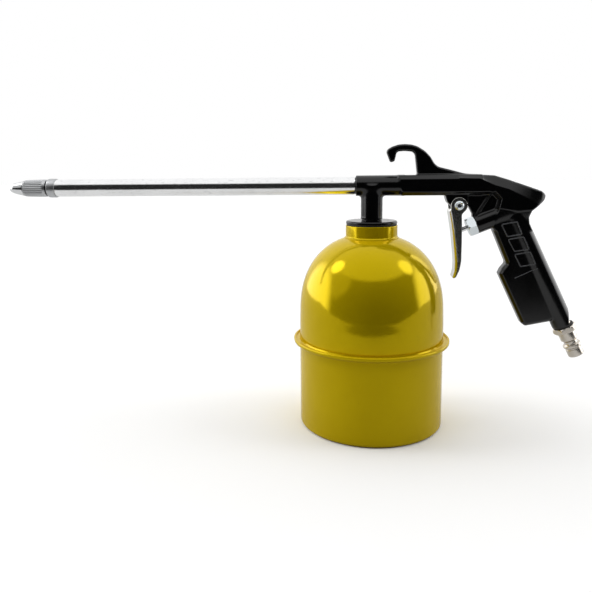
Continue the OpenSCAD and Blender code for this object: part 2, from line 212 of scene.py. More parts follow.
def surface(name, F, org, h, matrix=None, sharp=0.0):
    """A smooth quad mesh over the zero surface of F."""
    F = np.where(F == 0, 1e-7, F).astype(np.float32)
    S = F < 0
    nx, ny, nz = F.shape
    cnt = np.zeros((nx - 1, ny - 1, nz - 1), np.int8)
    for i in (0, 1):
        for j in (0, 1):
            for k in (0, 1):
                cnt += S[i:nx - 1 + i, j:ny - 1 + j, k:nz - 1 + k]
    act = (cnt > 0) & (cnt < 8)
    cells = np.argwhere(act)
    idx = np.full(act.shape, -1, np.int64)
    idx[act] = np.arange(len(cells))
    offs = np.array([(i, j, k) for i in (0, 1) for j in (0, 1) for k in (0, 1)])
    V = np.stack([F[cells[:, 0] + o[0], cells[:, 1] + o[1], cells[:, 2] + o[2]] for o in offs], 1)
    acc = np.zeros((len(cells), 3))
    num = np.zeros(len(cells))
    for a in range(8):
        for b in range(a + 1, 8):
            if np.abs(offs[a] - offs[b]).sum() != 1:
                continue
            va, vb = V[:, a], V[:, b]
            m = (va < 0) != (vb < 0)
            t = va[m] / (va[m] - vb[m])
            acc[m] += offs[a] + t[:, None] * (offs[b] - offs[a])
            num[m] += 1
    P = cells + acc / num[:, None]
    # pull each point onto the surface along the field's slope
    for _ in range(3):
        c = np.clip(np.floor(P).astype(int), 0, np.array(F.shape) - 2)
        f = P - c
        W = np.stack([F[c[:, 0] + o[0], c[:, 1] + o[1], c[:, 2] + o[2]] for o in offs], 1)
        w1 = np.stack([np.where(o[0], f[:, 0], 1 - f[:, 0]) for o in offs], 1)
        w2 = np.stack([np.where(o[1], f[:, 1], 1 - f[:, 1]) for o in offs], 1)
        w3 = np.stack([np.where(o[2], f[:, 2], 1 - f[:, 2]) for o in offs], 1)
        val = (W * w1 * w2 * w3).sum(1)
        s = [np.where(offs[:, i], 1.0, -1.0) for i in range(3)]
        g = np.stack([(W * s[0] * w2 * w3).sum(1), (W * s[1] * w1 * w3).sum(1), (W * s[2] * w1 * w2).sum(1)], 1)
        gg = np.maximum((g * g).sum(1), 0.05 * h * h)
        step = -(val / gg)[:, None] * g
        L = np.linalg.norm(step, axis=1)
        step *= np.minimum(1, 0.4 / np.maximum(L, 1e-9))[:, None]
        P = P + step
    faces = []
    for ax in range(3):
        sl0 = [slice(None)] * 3
        sl1 = [slice(None)] * 3
        sl0[ax], sl1[ax] = slice(0, -1), slice(1, None)
        A, B = S[tuple(sl0)], S[tuple(sl1)]
        e = np.argwhere(A != B)
        u, v = [(1, 2), (2, 0), (0, 1)][ax]
        ok = (e[:, u] > 0) & (e[:, v] > 0) & (e[:, u] < F.shape[u] - 1) & (e[:, v] < F.shape[v] - 1)
        e = e[ok]
        q = []
        for du, dv in ((1, 1), (0, 1), (0, 0), (1, 0)):
            c = e.copy()
            c[:, u] -= du
            c[:, v] -= dv
            q.append(idx[c[:, 0], c[:, 1], c[:, 2]])
        q = np.stack(q, 1)
        inside = A[e[:, 0], e[:, 1], e[:, 2]]
        q[~inside] = q[~inside][:, ::-1]
        faces.append(q)
    faces = np.concatenate(faces)
    verts = P * h + np.array(org)
    v = verts
    if matrix is not None:
        m = np.array(matrix)
        v = v @ m[:3, :3].T + m[:3, 3]
    me = bpy.data.meshes.new(name)
    me.vertices.add(len(v))
    me.vertices.foreach_set("co", (v * MM).astype(np.float32).ravel())
    me.loops.add(len(faces) * 4)
    me.loops.foreach_set("vertex_index", faces.astype(np.int32).ravel())
    me.polygons.add(len(faces))
    me.polygons.foreach_set("loop_start", np.arange(0, len(faces) * 4, 4, dtype=np.int32))
    me.polygons.foreach_set("use_smooth", np.ones(len(faces), bool))
    me.update(calc_edges=True)
    me.validate()
    if sharp:
        me.set_sharp_from_angle(angle=math.radians(sharp))
    ob = bpy.data.objects.new(name, me)
    bpy.context.scene.collection.objects.link(ob)
    fix_normals(ob)
    return ob


def cyl(axis_pt, axis_dir, r, t0, t1, X, Y, Z, edge=0.0):
    """Distance to a cylinder about an axis in space, from t0 to t1 along it."""
    dx, dy, dz = axis_dir
    px, py, pz = X - axis_pt[0], Y - axis_pt[1], Z - axis_pt[2]
    t = px * dx + py * dy + pz * dz
    rad = np.sqrt(np.maximum(px * px + py * py + pz * pz - t * t, 0))
    return rounded(rad - r, np.abs(t - (t0 + t1) / 2) - (t1 - t0) / 2, edge)


# ------------------------------------------------------------------ materials
class Mat:
    """Short calls for building one node material."""

    def __init__(self, name, **base):
        self.m = bpy.data.materials.new(name)
        self.m.use_nodes = True
        self.t = self.m.node_tree
        self.b = self.t.nodes["Principled BSDF"]
        self.co = self.t.nodes.new("ShaderNodeTexCoord")
        for k, v in base.items():
            self.b.inputs[k.replace("_", " ")].default_value = v

    def noise(self, scale, detail=2.0, rough=0.5, stretch=None, distort=0.0):
        n = self.t.nodes.new("ShaderNodeTexNoise")
        n.inputs["Scale"].default_value = scale
        n.inputs["Detail"].default_value = detail
        n.inputs["Roughness"].default_value = rough
        n.inputs["Distortion"].default_value = distort
        src = self.co.outputs["Object"]
        if stretch is not None:
            mp = self.t.nodes.new("ShaderNodeMapping")
            mp.inputs["Scale"].default_value = stretch
            self.t.links.new(src, mp.inputs["Vector"])
            src = mp.outputs["Vector"]
        self.t.links.new(src, n.inputs["Vector"])
        return n.outputs["Fac"]

    def ramp(self, src, stops):
        r = self.t.nodes.new("ShaderNodeValToRGB")
        el = r.color_ramp.elements
        while len(el) < len(stops):
            el.new(0.5)
        for e, (p, c) in zip(el, stops):
            e.position = p
            e.color = tuple(c) + (1.0,) if len(c) == 3 else c
        self.t.links.new(src, r.inputs["Fac"])
        return r.outputs["Color"]

    def span(self, src, lo, hi, a=0.0, b=1.0):
        r = self.t.nodes.new("ShaderNodeMapRange")
        r.inputs["From Min"].default_value = a
        r.inputs["From Max"].default_value = b
        r.inputs["To Min"].default_value = lo
        r.inputs["To Max"].default_value = hi
        self.t.links.new(src, r.inputs["Value"])
        return r.outputs["Result"]

    def math(self, op, a, b):
        n = self.t.nodes.new("ShaderNodeMath")
        n.operation = op
        for i, s in enumerate((a, b)):
            if isinstance(s, (int, float)):
                n.inputs[i].default_value = s
            else:
                self.t.links.new(s, n.inputs[i])
        return n.outputs[0]

    def mix(self, fac, a, b):
        n = self.t.nodes.new("ShaderNodeMix")
        n.data_type = "RGBA"
        self.t.links.new(fac, n.inputs["Factor"])
        for s, k in ((a, 6), (b, 7)):
            if isinstance(s, tuple):
                n.inputs[k].default_value = s + (1.0,) if len(s) == 3 else s
            else:
                self.t.links.new(s, n.inputs[k])
        return n.outputs[2]

    def bump(self, height, dist, strength=1.0, after=None):
        n = self.t.nodes.new("ShaderNodeBump")
        n.inputs["Strength"].default_value = strength
        n.inputs["Distance"].default_value = dist
        self.t.links.new(height, n.inputs["Height"])
        if after is not None:
            self.t.links.new(after, n.inputs["Normal"])
        return n.outputs["Normal"]

    def edges(self, dist=0.0006):
        """White on convex edges, for worn paint and a painted edge highlight: the bevelled normal departs from the
        true one there.
        """
        bv = self.t.nodes.new("ShaderNodeBevel")
        bv.samples = 4
        bv.inputs["Radius"].default_value = dist
        ge = self.t.nodes.new("ShaderNodeNewGeometry")
        d = self.t.nodes.new("ShaderNodeVectorMath")
        d.operation = "DOT_PRODUCT"
        self.t.links.new(bv.outputs["Normal"], d.inputs[0])
        self.t.links.new(ge.outputs["Normal"], d.inputs[1])
        return self.span(d.outputs["Value"], 1.0, 0.0, 0.72, 0.98)

    def height(self):
        s = self.t.nodes.new("ShaderNodeSeparateXYZ")
        self.t.links.new(self.co.outputs["Object"], s.inputs[0])
        return s.outputs

    def set(self, name, out):
        self.t.links.new(out, self.b.inputs[name])

    def done(self):
        return self.m


def srgb(r, g, b):
    f = lambda c: (c / 255 / 12.92) if c / 255 <= 0.04045 else ((c / 255 + 0.055) / 1.055) ** 2.4
    return (f(r), f(g), f(b))


def make_yellow():
    m = Mat("enamel_yellow", IOR=1.5, Specular_IOR_Level=0.5, Specular_Tint=(1.0, 0.86, 0.10, 1), Metallic=0.30)
    big = m.noise(28, 3, 0.55)
    fine = m.noise(420, 3, 0.6)
    col = m.ramp(big, [(0.3, (0.66, 0.470, 0.001)), (0.7, (0.71, 0.512, 0.002))])
    # dust specks baked in the enamel
    speck = m.span(m.noise(900, 1, 0.4), 0.0, 1.0, 0.72, 0.78)
    col = m.mix(speck, col, (0.60, 0.43, 0.01))
    m.set("Base Color", col)
    m.set("Roughness", m.math("ADD", m.span(big, 0.06, 0.12), m.span(fine, 0.0, 0.04)))
    wave = m.bump(m.noise(42, 3, 0.5), 0.00030, 0.45)
    m.set("Normal", m.bump(m.noise(240, 2, 0.5), 0.00004, 0.35, wave))
    return m.done()


def make_black(name, rough, grain, tint, wear_and_edge_highlight=0.35, spec=0.25):
    m = Mat(name, IOR=1.5, Specular_IOR_Level=spec)
    big = m.noise(60, 3, 0.6)
    fine = m.noise(1500, 2, 0.6)
    col = m.ramp(big, [(0.35, tint), (0.7, tuple(c * 1.5 for c in tint))])
    # convex edges whitened in specks: worn paint, and a painted highlight along the edges
    edge = m.math("MULTIPLY", m.edges(), m.span(m.noise(350, 3, 0.65), 0.0, wear_and_edge_highlight, 0.42, 0.66))
    col = m.mix(edge, col, srgb(120, 122, 126))
    m.set("Base Color", col)
    m.set("Roughness", m.math("ADD", m.span(big, rough - 0.06, rough + 0.06), m.span(fine, -0.04, 0.06)))
    m.set("Normal", m.bump(m.noise(1100, 3, 0.7), 0.00006, grain, m.bump(m.noise(120, 2, 0.5), 0.0002, 0.12)))
    return m.done()


def make_metal(name, tint, rough, streak=None, bump=0.2, speckle=0.0, dark=0.6, scale=200):
    m = Mat(name, Metallic=1.0)
    big = m.noise(45, 3, 0.6)
    fine = m.noise(scale, 4, 0.65, streak)
    col = m.ramp(big, [(0.3, tuple(c * 0.92 for c in tint)), (0.7, tint)])
    if speckle:
        sp = m.math("MULTIPLY", m.span(m.noise(820, 2, 0.6, (0.35, 1, 1)), 0.0, 1.0, 0.56, 0.70), speckle)
        col = m.mix(sp, col, tuple(c * dark for c in tint))
    m.set("Base Color", col)
    m.set("Roughness", m.math("ADD", m.span(big, rough * 0.85, rough * 1.15), m.span(fine, -0.05, 0.07)))
    m.set("Normal", m.bump(fine, 0.00004, bump))
    return m.done()


def make_rubber():
    m = Mat("rubber_black", IOR=1.5)
    n = m.noise(500, 3, 0.6)
    m.set("Base Color", m.ramp(n, [(0.3, (0.012, 0.012, 0.012)), (0.8, (0.022, 0.022, 0.021))]))
    m.set("Roughness", m.span(n, 0.55, 0.75))
    m.set("Normal", m.bump(n, 0.00005, 0.3))
    return m.done()


def make_plastic():
    m = Mat("pe_natural", IOR=1.5, Subsurface_Weight=0.15, Subsurface_Scale=0.002)
    n = m.noise(90, 3, 0.5)
    m.set("Base Color", m.ramp(n, [(0.3, srgb(214, 216, 206)), (0.8, srgb(226, 228, 220))]))
    m.set("Roughness", m.span(n, 0.32, 0.45))
    m.set("Normal", m.bump(m.noise(300, 2, 0.5), 0.00005, 0.3))
    return m.done()


YELLOW = make_yellow()
BLACK = make_black("paint_black_cast", 0.18, 0.16, (0.0005, 0.0006, 0.0008), spec=0.5)
# raised squares: a grey far lighter than the body's black, with heavy edge whitening, a painted highlight on the
# relief
RELIEF = make_black("paint_black_relief_highlight", 0.40, 0.3, (0.085, 0.088, 0.095), wear_and_edge_highlight=0.8, spec=0.5)
LID_BLACK = make_black("paint_black_lid", 0.17, 0.12, (0.0012, 0.0012, 0.0015), wear_and_edge_highlight=0.2, spec=0.4)
LANCE = make_metal("chrome_lance", (0.95, 0.955, 0.96), 0.16, (0.2, 1, 1), 0.25, speckle=0.35, dark=0.55)
TRIG = make_metal("plated_trigger", (0.80, 0.80, 0.76), 0.19, None, 0.2)
POLISHED = make_metal("steel_polished", (0.80, 0.81, 0.82), 0.14, None, 0.15)
ZINC = make_metal("zinc_blue", (0.84, 0.90, 0.93), 0.20, None, 0.2)
NOZZLE = make_metal("zinc_nozzle", (0.52, 0.53, 0.54), 0.34, None, 0.35)
PLUG = make_metal("nickel_plug", (0.70, 0.65, 0.58), 0.24, None, 0.25)
BRASS = make_metal("brass_turned", (0.80, 0.62, 0.30), 0.26, None, 0.2)
SPRING = make_metal("spring_wire", (0.70, 0.71, 0.72), 0.25, None, 0.2)
RUBBER = make_rubber()
PLASTIC = make_plastic()

SLOT_MATS = {"cup_paint": YELLOW, "body_paint": BLACK, "lid_black": LID_BLACK, "lance_steel": LANCE,
             "trigger_steel": TRIG, "polished_steel": POLISHED, "zinc_steel": ZINC, "nozzle_zinc": NOZZLE,
             "plug_nickel": PLUG, "brass_part": BRASS, "spring_steel": SPRING, "rubber_seal": RUBBER,
             "dip_plastic": PLASTIC}


def dress(ob, mat, body, slot, *nodes):
    ob.data.materials.clear()
    ob.data.materials.append(mat)
    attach(ob, body)
    if nodes:
        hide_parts(*nodes)
    return ob


# ------------------------------------------------------------------ cup
def dome_outline(a, b, h_end, n=60, z0=80.3, e=2.286):
    out = []
    for i in range(n + 1):
        h = h_end * math.sin(math.pi / 2 * i / n)
        out.append((a * (1 - (h / b) ** e) ** (1 / e), z0 + h))
    return out


def build_cup():
    ri = 49.2
    # lower half: base, wall, and the seam rolled over the upper half's rim
    outer = [(0, 1.1), (41.0, 1.1), (42.6, 0.0), (50.0, 0.0), (50.0, 57.6), (50.9, 58.9), (54.4, 58.9), (54.4, 61.8), (53.0, 61.8), (53.0, 60.8)]
    rad = [0, 1.2, 1.0, 2.4, 1.0, 0.9, 1.42, 1.42, 0.4, 0]
    inner = [(50.3, 60.8), (50.3, 60.0), (ri, 59.6), (ri, 0.8), (42.9, 0.8), (41.3, 1.9), (0, 1.9)]
    radi = [0, 0.2, 0.4, 1.6, 0.8, 1.0, 0]
    prof = round_path(outer, rad, steps=8) + round_path(inner, radi, steps=6)
    lower = lathe("cup_lower", prof, segs=256, closed=False, sharp=50)
    dress(lower, YELLOW, "cup", "cup_paint", "cup_lower_shell")
    # upper half: wall, dome, and the flat rim that lies in the seam
    o = [(52.9, 60.05), (52.9, 60.75), (50.4, 60.8), (50.0, 62.0), (50.0, 74.3)]
    po = round_path(o, [0, 0, 0.5, 0.7, 0], steps=5)[:-1] + [(50.0, 66.0), (50.0, 70.0), (50.0, 74.3), (49.93, 77.3)]
    dome = dome_outline(49.8, 54.4, 52.05, 64)
    pi = [(16.6, 132.3), (16.6, 131.5)]
    di = [(r, z) for r, z in dome_outline(49.0, 53.6, 51.65, 40)][::-1]
    prof = po + dome + pi + di + [(ri, 74.3), (ri, 62.0), (49.4, 60.05)]
    upper = lathe("cup_dome", prof, segs=256, closed=True, sharp=50)
    dress(upper, YELLOW, "cup", "cup_paint", "cup_dome_shell")
    # neck: brazed fillet, collar, rolled top edge and the bore
    o = [(16.55, 129.6), (16.55, 131.9), (19.2, 132.05), (17.8, 133.2), (17.8, 140.9), (15.0, 140.9), (15.0, 129.6)]
    prof = round_path(o, [0.2, 0.1, 0.25, 1.0, 0.45, 0.3, 0.2], closed=True, steps=6)
    neck = lathe("cup_neck", prof, segs=192, sharp=50)
    dress(neck, YELLOW, "cup", "cup_paint", "cup_neck_collar")


build_cup()


# ------------------------------------------------------------------ lid
def cut(ob, cutter):
    """Takes the cutter's shape out of an object and leaves a plain mesh."""
    md = ob.modifiers.new("cut", "BOOLEAN")
    md.operation, md.solver, md.object = "DIFFERENCE", "EXACT", cutter
    dg = bpy.context.evaluated_depsgraph_get()
    me = bpy.data.meshes.new_from_object(ob.evaluated_get(dg))
    ob.modifiers.remove(md)
    old = ob.data
    ob.data = me
    bpy.data.meshes.remove(old)
    bpy.data.objects.remove(cutter)
    me.polygons.foreach_set("use_smooth", [True] * len(me.polygons))
    me.set_sharp_from_angle(angle=math.radians(40))
    return ob


def build_lid():
    o = [(5.05, 144.1), (16.9, 144.1), (17.6, 143.4), (17.6, 142.0), (14.92, 142.0), (14.92, 133.4), (12.4, 133.4), (12.4, 138.6), (5.05, 138.6)]
    prof = round_path(o, [0.1, 0.6, 0.7, 0.3, 0.3, 0.5, 0.3, 0.6, 0.2], closed=True, steps=6)
    lid = lathe("lid", prof, segs=192, sharp=45)
    vent = lathe("vent_cut", [(0, 130), (0.7, 130), (0.7, 150), (0, 150)], Matrix.Translation((11.2, 0, 0)), segs=32, closed=False)
    cut(lid, vent)
    dress(lid, LID_BLACK, "gun", "lid_black", "cup_lid")
    o = [(5.02, 144.1), (7.0, 144.1), (7.0, 145.0), (5.02, 145.0)]
    w = lathe("washer", round_path(o, 0.25, closed=True, steps=4), segs=96, sharp=45)
    dress(w, LID_BLACK, "gun", "lid_black", "stem_washer")


build_lid()

# ------------------------------------------------------------------ gun body
HOOK = [(30.2, 175.0), (28.5, 189.0), (26.6, 190.6), (21.6, 191.1), (17.6, 190.8), (16.3, 189.8), (15.1, 184.4), (12.2, 183.3),
        (9.4, 190.7), (10.6, 192.6), (13.4, 194.2), (17.6, 195.5), (21.6, 195.75), (26.0, 195.4), (30.1, 194.2), (35.2, 191.0), (38.9, 187.1),
        (41.6, 182.6), (44.1, 180.4), (52.3, 178.3), (62.3, 175.5), (72.0, 174.0), (72.0, 170.0), (32.0, 170.0)]
HOOK_R = [1.5, 2.6, 2.0, 3.0, 2.0, 1.5, 1.4, 1.4, 2.0, 2.0, 6, 6, 8, 8, 10, 10, 6, 5, 6, 10, 10, 0, 0, 0]
REAR_SIDE = [(56.0, 163.0), (56.0, 172.8), (70.6, 172.5), (80.5, 167.8), (89.6, 165.1), (104.4, 157.55), (108.0, 160.6), (114.4, 160.6), (113.2, 157.6),
             (105.4, 151.0), (103.6, 146.5), (104.2, 142.6), (106.6, 137.4), (92.0, 132.0), (81.3, 137.0), (79.6, 138.0), (74.0, 138.0), (67.5, 148.0), (60.0, 152.0), (52.0, 161.2)]
GRIP = [(80.9, 137.6), (90.4, 115.2), (87.3, 111.2), (85.7, 107.8), (99.7, 78.2), (101.8, 73.8), (104.6, 71.7), (121.0, 75.2), (128.0, 78.4), (100.2, 140.6), (96.0, 149.5), (84.0, 150.0)]
GRIP_R = [2.0, 2.2, 3.0, 1.6, 4.0, 2.6, 2.0, 3.0, 3.0, 1.0, 2.0, 1.0]


def build_body():
    h = 0.4
    lo, hi = (-12.2, -8.6, 60.4), (132.6, 8.6, 197.2)
    gx, gy, gz = grid(lo, hi, h)
    X2, Z2 = np.meshgrid(gx, gz, indexing="ij")
    X, Y, Z = gx[:, None, None], gy[None, :, None], gz[None, None, :]
    AY = np.abs(Y)
    e3 = lambda a: a[:, None, :]

    # barrel and beam
    barrel = cyl((0, 0, BORE_Z), (1, 0, 0), 7.0, -11.0, 22.0, X, Y, Z, 0.5)
    Y2, ZZ = np.meshgrid(gy, gz, indexing="ij")
    beam2 = sd_poly(round_path([(-7.1, 163.7), (-7.1, 172.3), (-4.4, 175.0), (4.4, 175.0), (7.1, 172.3), (7.1, 163.7), (4.6, 161.2), (-4.6, 161.2)], 0.9, closed=True, steps=4), Y2, ZZ)
    start = 17.4 + 0.0 * Z + np.maximum(0, (166.5 - Z)) * 0.45 + np.maximum(0, AY - 5.2) * 0.9
    beam = rounded(beam2[None, :, :] + 0 * X, np.maximum(start - X, X - 73.0) + 0 * Y, 0.6)
    F = smin(barrel, beam, 1.2)

    # hook, a rounded plate that rises out of the beam
    hk = rounded(e3(sd_poly(round_path(HOOK, HOOK_R, closed=True, steps=6), X2, Z2)), AY - HOOK_W / 2 + 0 * X, 1.7)
    F = smin(F, hk, 1.6)

    # rear body: side plates, the hip above them and the rounded tail
    side2 = e3(sd_poly(round_path(REAR_SIDE, [0, 0, 1, 3, 3, 2, 1, 2.2, 2.2, 3.0, 3.0, 2, 0, 0, 1, 0, 0, 0, 0, 0], closed=True, steps=4), X2, Z2))
    div = np.interp(gx, [58, 70.6, 80.5, 89.6, 104.4, 115.0], [172.8, 172.5, 167.8, 165.1, 157.6, 150.6])
    top = np.interp(gx, [58, 70, 81, 90, 100, 112.0, 114.2, 115.0], [175.0, 175.0, 174.25, 171.4, 167.9, 163.6, 161.8, 160.4])
    depth = np.clip((top[:, None] - Z2) / np.maximum(top - div, 2.0)[:, None], 0, 1)
    tail = np.sqrt(np.clip(1 - np.clip((gx - 103.0) / 12.4, 0, 1) ** 2, 0, 1))
    full = BODY_W / 2
    wid = (3.9 + (full - 3.9) * depth) * np.maximum(tail, 0.05)[:, None]
    # the web's recess: a sloped wall around it
    rec2 = sd_poly([(40.0, 163.7), (81.2, 163.7), (85.5, 159.0), (84.9, 155.6), (84.3, 153.4), (79.6, 138.0), (74.0, 130.0), (60.0, 130.0), (40.0, 150.0)], X2, Z2)
    wall = 3.0 + (full - 3.0) * np.clip((rec2 + 2.3) / 2.3, 0, 1)
    ridge = np.clip(1.0 - np.abs((X2 - 73.6) * 0.851 - (Z2 - 154.4) * 0.525) * 0.85, 0, 1.0)
    wid_w = np.where(rec2 < 0, np.minimum(wid, wall + ridge), wid)
    topd = e3((Z2 - top[:, None]) * 0.93)
    hipd = (AY - e3(wid_w)) * 0.86
    rear = np.maximum(rounded(np.maximum(topd, 0 * Y - e3(X2 - 57.0)), hipd, 1.0), 0)
    upper2 = sd_poly(round_path([(57.0, 158.0), (57.0, 176.5), (81.0, 175.6), (92.0, 172.4), (112.6, 164.9), (115.3, 160.5), (113.7, 157.4), (105.5, 150.9), (96.0, 150.0), (84.6, 152.0), (67.2, 149.0), (63.8, 155.6)], [0, 0, 0, 0, 2.2, 2.0, 2.4, 0, 0, 0, 0.6, 0.6], closed=True, steps=4), X2, Z2)
    rear = rounded(np.maximum(e3(upper2), topd), hipd, 1.0)
    F = smin(F, rear, 0.5)
    lower2 = sd_poly(round_path([(80.4, 139.0), (84.6, 156.0), (105.0, 156.0), (105.4, 151.0), (103.6, 146.5), (104.2, 142.6), (106.4, 137.6), (92.0, 132.0), (82.6, 136.4)], [2.5, 0, 0, 3.0, 3.0, 2, 0, 0, 1], closed=True, steps=4), X2, Z2)
    ramp = np.clip((Z2 - 141.5) / 12.0, 0, 1)
    neck = rounded(e3(lower2), (AY - e3(6.0 + 1.4 * ramp * ramp * (3 - 2 * ramp))), 1.3)
    F = smin(F, neck, 0.3)

    # web and bracket
    web2 = sd_poly(round_path([(63.8, 163.0), (63.8, 155.6), (67.2, 149.0), (68.0, 145.0), (82.0, 145.0), (86.0, 152.0), (86.0, 163.0)], [0, 1.0, 0.8, 0, 0, 0, 0], closed=True), X2, Z2)
    F = smin(F, rounded(e3(web2), AY - e3(3.0 + ridge), 0.5), 0.7)
    br2 = sd_poly(round_path([(48.4, 162.4), (50.3, 156.6), (52.2, 154.7), (54.4, 151.0), (57.7, 149.7), (60.8, 151.0), (62.4, 153.5), (63.9, 157.0), (63.9, 162.4)], [1.2, 1.2, 0.8, 1.5, 2.5, 1.5, 1, 1, 0], closed=True), X2, Z2)
    F = smin(F, rounded(e3(br2), AY - 5.5 + 0 * X, 0.8), 0.8)

    # valve boss, with a turned rim
    va = math.radians(VALVE_A)
    vp, vd = (VALVE_P[0], 0, VALVE_P[1]), (math.cos(va), 0, math.sin(va))
    boss = cyl(vp, vd, 6.5, 5.8, 30.0, X, Y, Z, 0.7)
    F = smin(F, boss, 1.4)

    # grip plate: a wide front bevel and the air tube down its back
    g2 = sd_poly(round_path(GRIP, GRIP_R, closed=True, steps=6), X2, Z2)
    half = np.minimum(GRIP_W / 2, 3.9 + np.clip(-g2, 0, 9) * 1.05)
    half = half + 0.25 * np.clip((-g2 - 3.4) / 0.5, 0, 1) * 0
    grip = rounded(e3(g2), (AY - e3(half)) * 0.86, 0.9)
    F = smin(F, grip, 0.35)
    ia = math.radians(INLET_A)
    ip, idr = (INLET_P[0], 0, INLET_P[1]), (math.sin(ia), 0, -math.cos(ia))
    tube = cyl(ip, idr, 7.2, -84.0, -1.0, X, Y, Z, 1.5)
    F = smin(F, tube, 0.9)
    F = np.minimum(F, cyl(ip, idr, 7.2, -9.0, 0.0, X, Y, Z, 0.5))

    # stem, with its bead at the lid
    stem = cyl((0, 0, 0), (0, 0, 1), 7.4, GASKET_Z + 4.6, BORE_Z, X, Y, Z, 0.2)
    F = smin(F, stem, 2.2)
    foot = cyl((0, 0, 0), (0, 0, 1), 7.4, GASKET_Z + 3.85, GASKET_Z + 5.6, X, Y, Z, 0.6)
    F = smin(F, foot, 0.3)
    spig = cyl((0, 0, 0), (0, 0, 1), 4.95, 133.6, 148.0, X, Y, Z, 0.4)
    F = np.minimum(F, spig)

    # bores
    for c in (cyl((0, 0, BORE_Z), (1, 0, 0), 5.0, -14.0, 12.0, X, Y, Z), cyl(vp, vd, 5.0, 5.0, 35.0, X, Y, Z),
              cyl(ip, idr, 5.0, -11.0, 1.0, X, Y, Z), cyl((0, 0, 0), (0, 0, 1), 2.2, 130.0, 166.0, X, Y, Z),
              cyl((0, 0, 0), (0, 0, 1), 3.0, 130.0, 141.0, X, Y, Z),
              cyl((PIN_P[0], 0, PIN_P[1]), (0, 1, 0), 2.0, -20.0, 20.0, X, Y, Z)):
        F = np.maximum(F, -c)
    ob = surface("body_casting", F, lo, h)
    return dress(ob, BLACK, "gun", "body_paint", "gun_body")


body = build_body()


def grip_face(x, z):
    """Half width of the casting where the relief lies: the plate, or the air tube where that stands out."""
    ia = math.radians(INLET_A)
    across = (x - INLET_P[0]) * math.cos(ia) + (z - INLET_P[1]) * math.sin(ia)
    tube = math.sqrt(max(0.0, 7.2 ** 2 - across ** 2))
    ramp = min(1.0, max(0.0, (z - 141.5) / 12.0))
    plate = GRIP_W / 2 + 1.4 * ramp * ramp * (3 - 2 * ramp)
    near = max(0.9 - abs(plate - tube), 0.0) / 0.9
    return max(plate, tube) + near * near * 0.225


def ribbon(name, pts, y, width, height, side, closed=True):
    """A low rounded bead that follows an outline in the XZ plane on a flat face at y."""
    P = round_path(pts, 0.7, closed=closed, steps=4)
    dense = []
    for i, p in enumerate(P):
        dense.append(p)
        if i + 1 < len(P) or closed:
            q = P[(i + 1) % len(P)]
            steps = max(1, int(math.hypot(q[0] - p[0], q[1] - p[1]) // 0.8))
            dense += [(p[0] + (q[0] - p[0]) * s / steps, p[1] + (q[1] - p[1]) * s / steps) for s in range(1, steps)]
    P = np.array(dense)
    n = len(P)
    prof = [(-width / 2, -0.35), (-width / 2, height * 0.45), (-width * 0.3, height * 0.85), (0, height), (width * 0.3, height * 0.85), (width / 2, height * 0.45), (width / 2, -0.35)]
    verts = []
    for i in range(n):
        if closed:
            t = P[(i + 1) % n] - P[i - 1]
        else:
            t = P[min(i + 1, n - 1)] - P[max(i - 1, 0)]
        t = t / max(np.linalg.norm(t), 1e-9)
        nrm = np.array((-t[1], t[0]))
        for w, hh in prof:
            q = P[i] + nrm * w
            verts.append((q[0], side * (grip_face(q[0], q[1]) + y + hh), q[1]))
    k = len(prof)
    faces = []
    for i in range(n if closed else n - 1):
        a, b = i * k, ((i + 1) % n) * k
        faces += [(a + j, a + (j + 1) % k, b + (j + 1) % k, b + j) for j in range(k)]
    if not closed:
        faces += [tuple(range(k)), tuple(range((n - 1) * k, n * k))[::-1]]
    return verts, faces


def build_relief():
    squares = [[(85.8, 141.6), (95.6, 143.5), (99.1, 135.2), (90.1, 133.5)], [(90.6, 131.5), (100.3, 133.4), (104.0, 125.0), (95.1, 123.5)],
               [(95.2, 121.4), (105.0, 123.2), (108.7, 115.0), (99.3, 113.3)]]
    V, Fc = [], []
    for side in (-1, 1):
        for k, s in enumerate(squares):
            y = (0.10, 0.03, 0.0)[k]
            v, f = ribbon("sq", s, y, 0.8, 0.34, side)
            Fc += [tuple(i + len(V) for i in q) for q in f]
            V += v
        v, f = ribbon("ln", [(95.9, 105.3), (110.1, 112.2)], 0.0, 0.6, 0.22, side, closed=False)
        Fc += [tuple(i + len(V) for i in q) for q in f]
        V += v
    ob = to_object("grip_squares", V, Fc, sharp=40)
    # the squares take the lighter black that carries the painted highlight
    return dress(ob, RELIEF, "gun", "body_paint", "gun_body")


relief = build_relief()


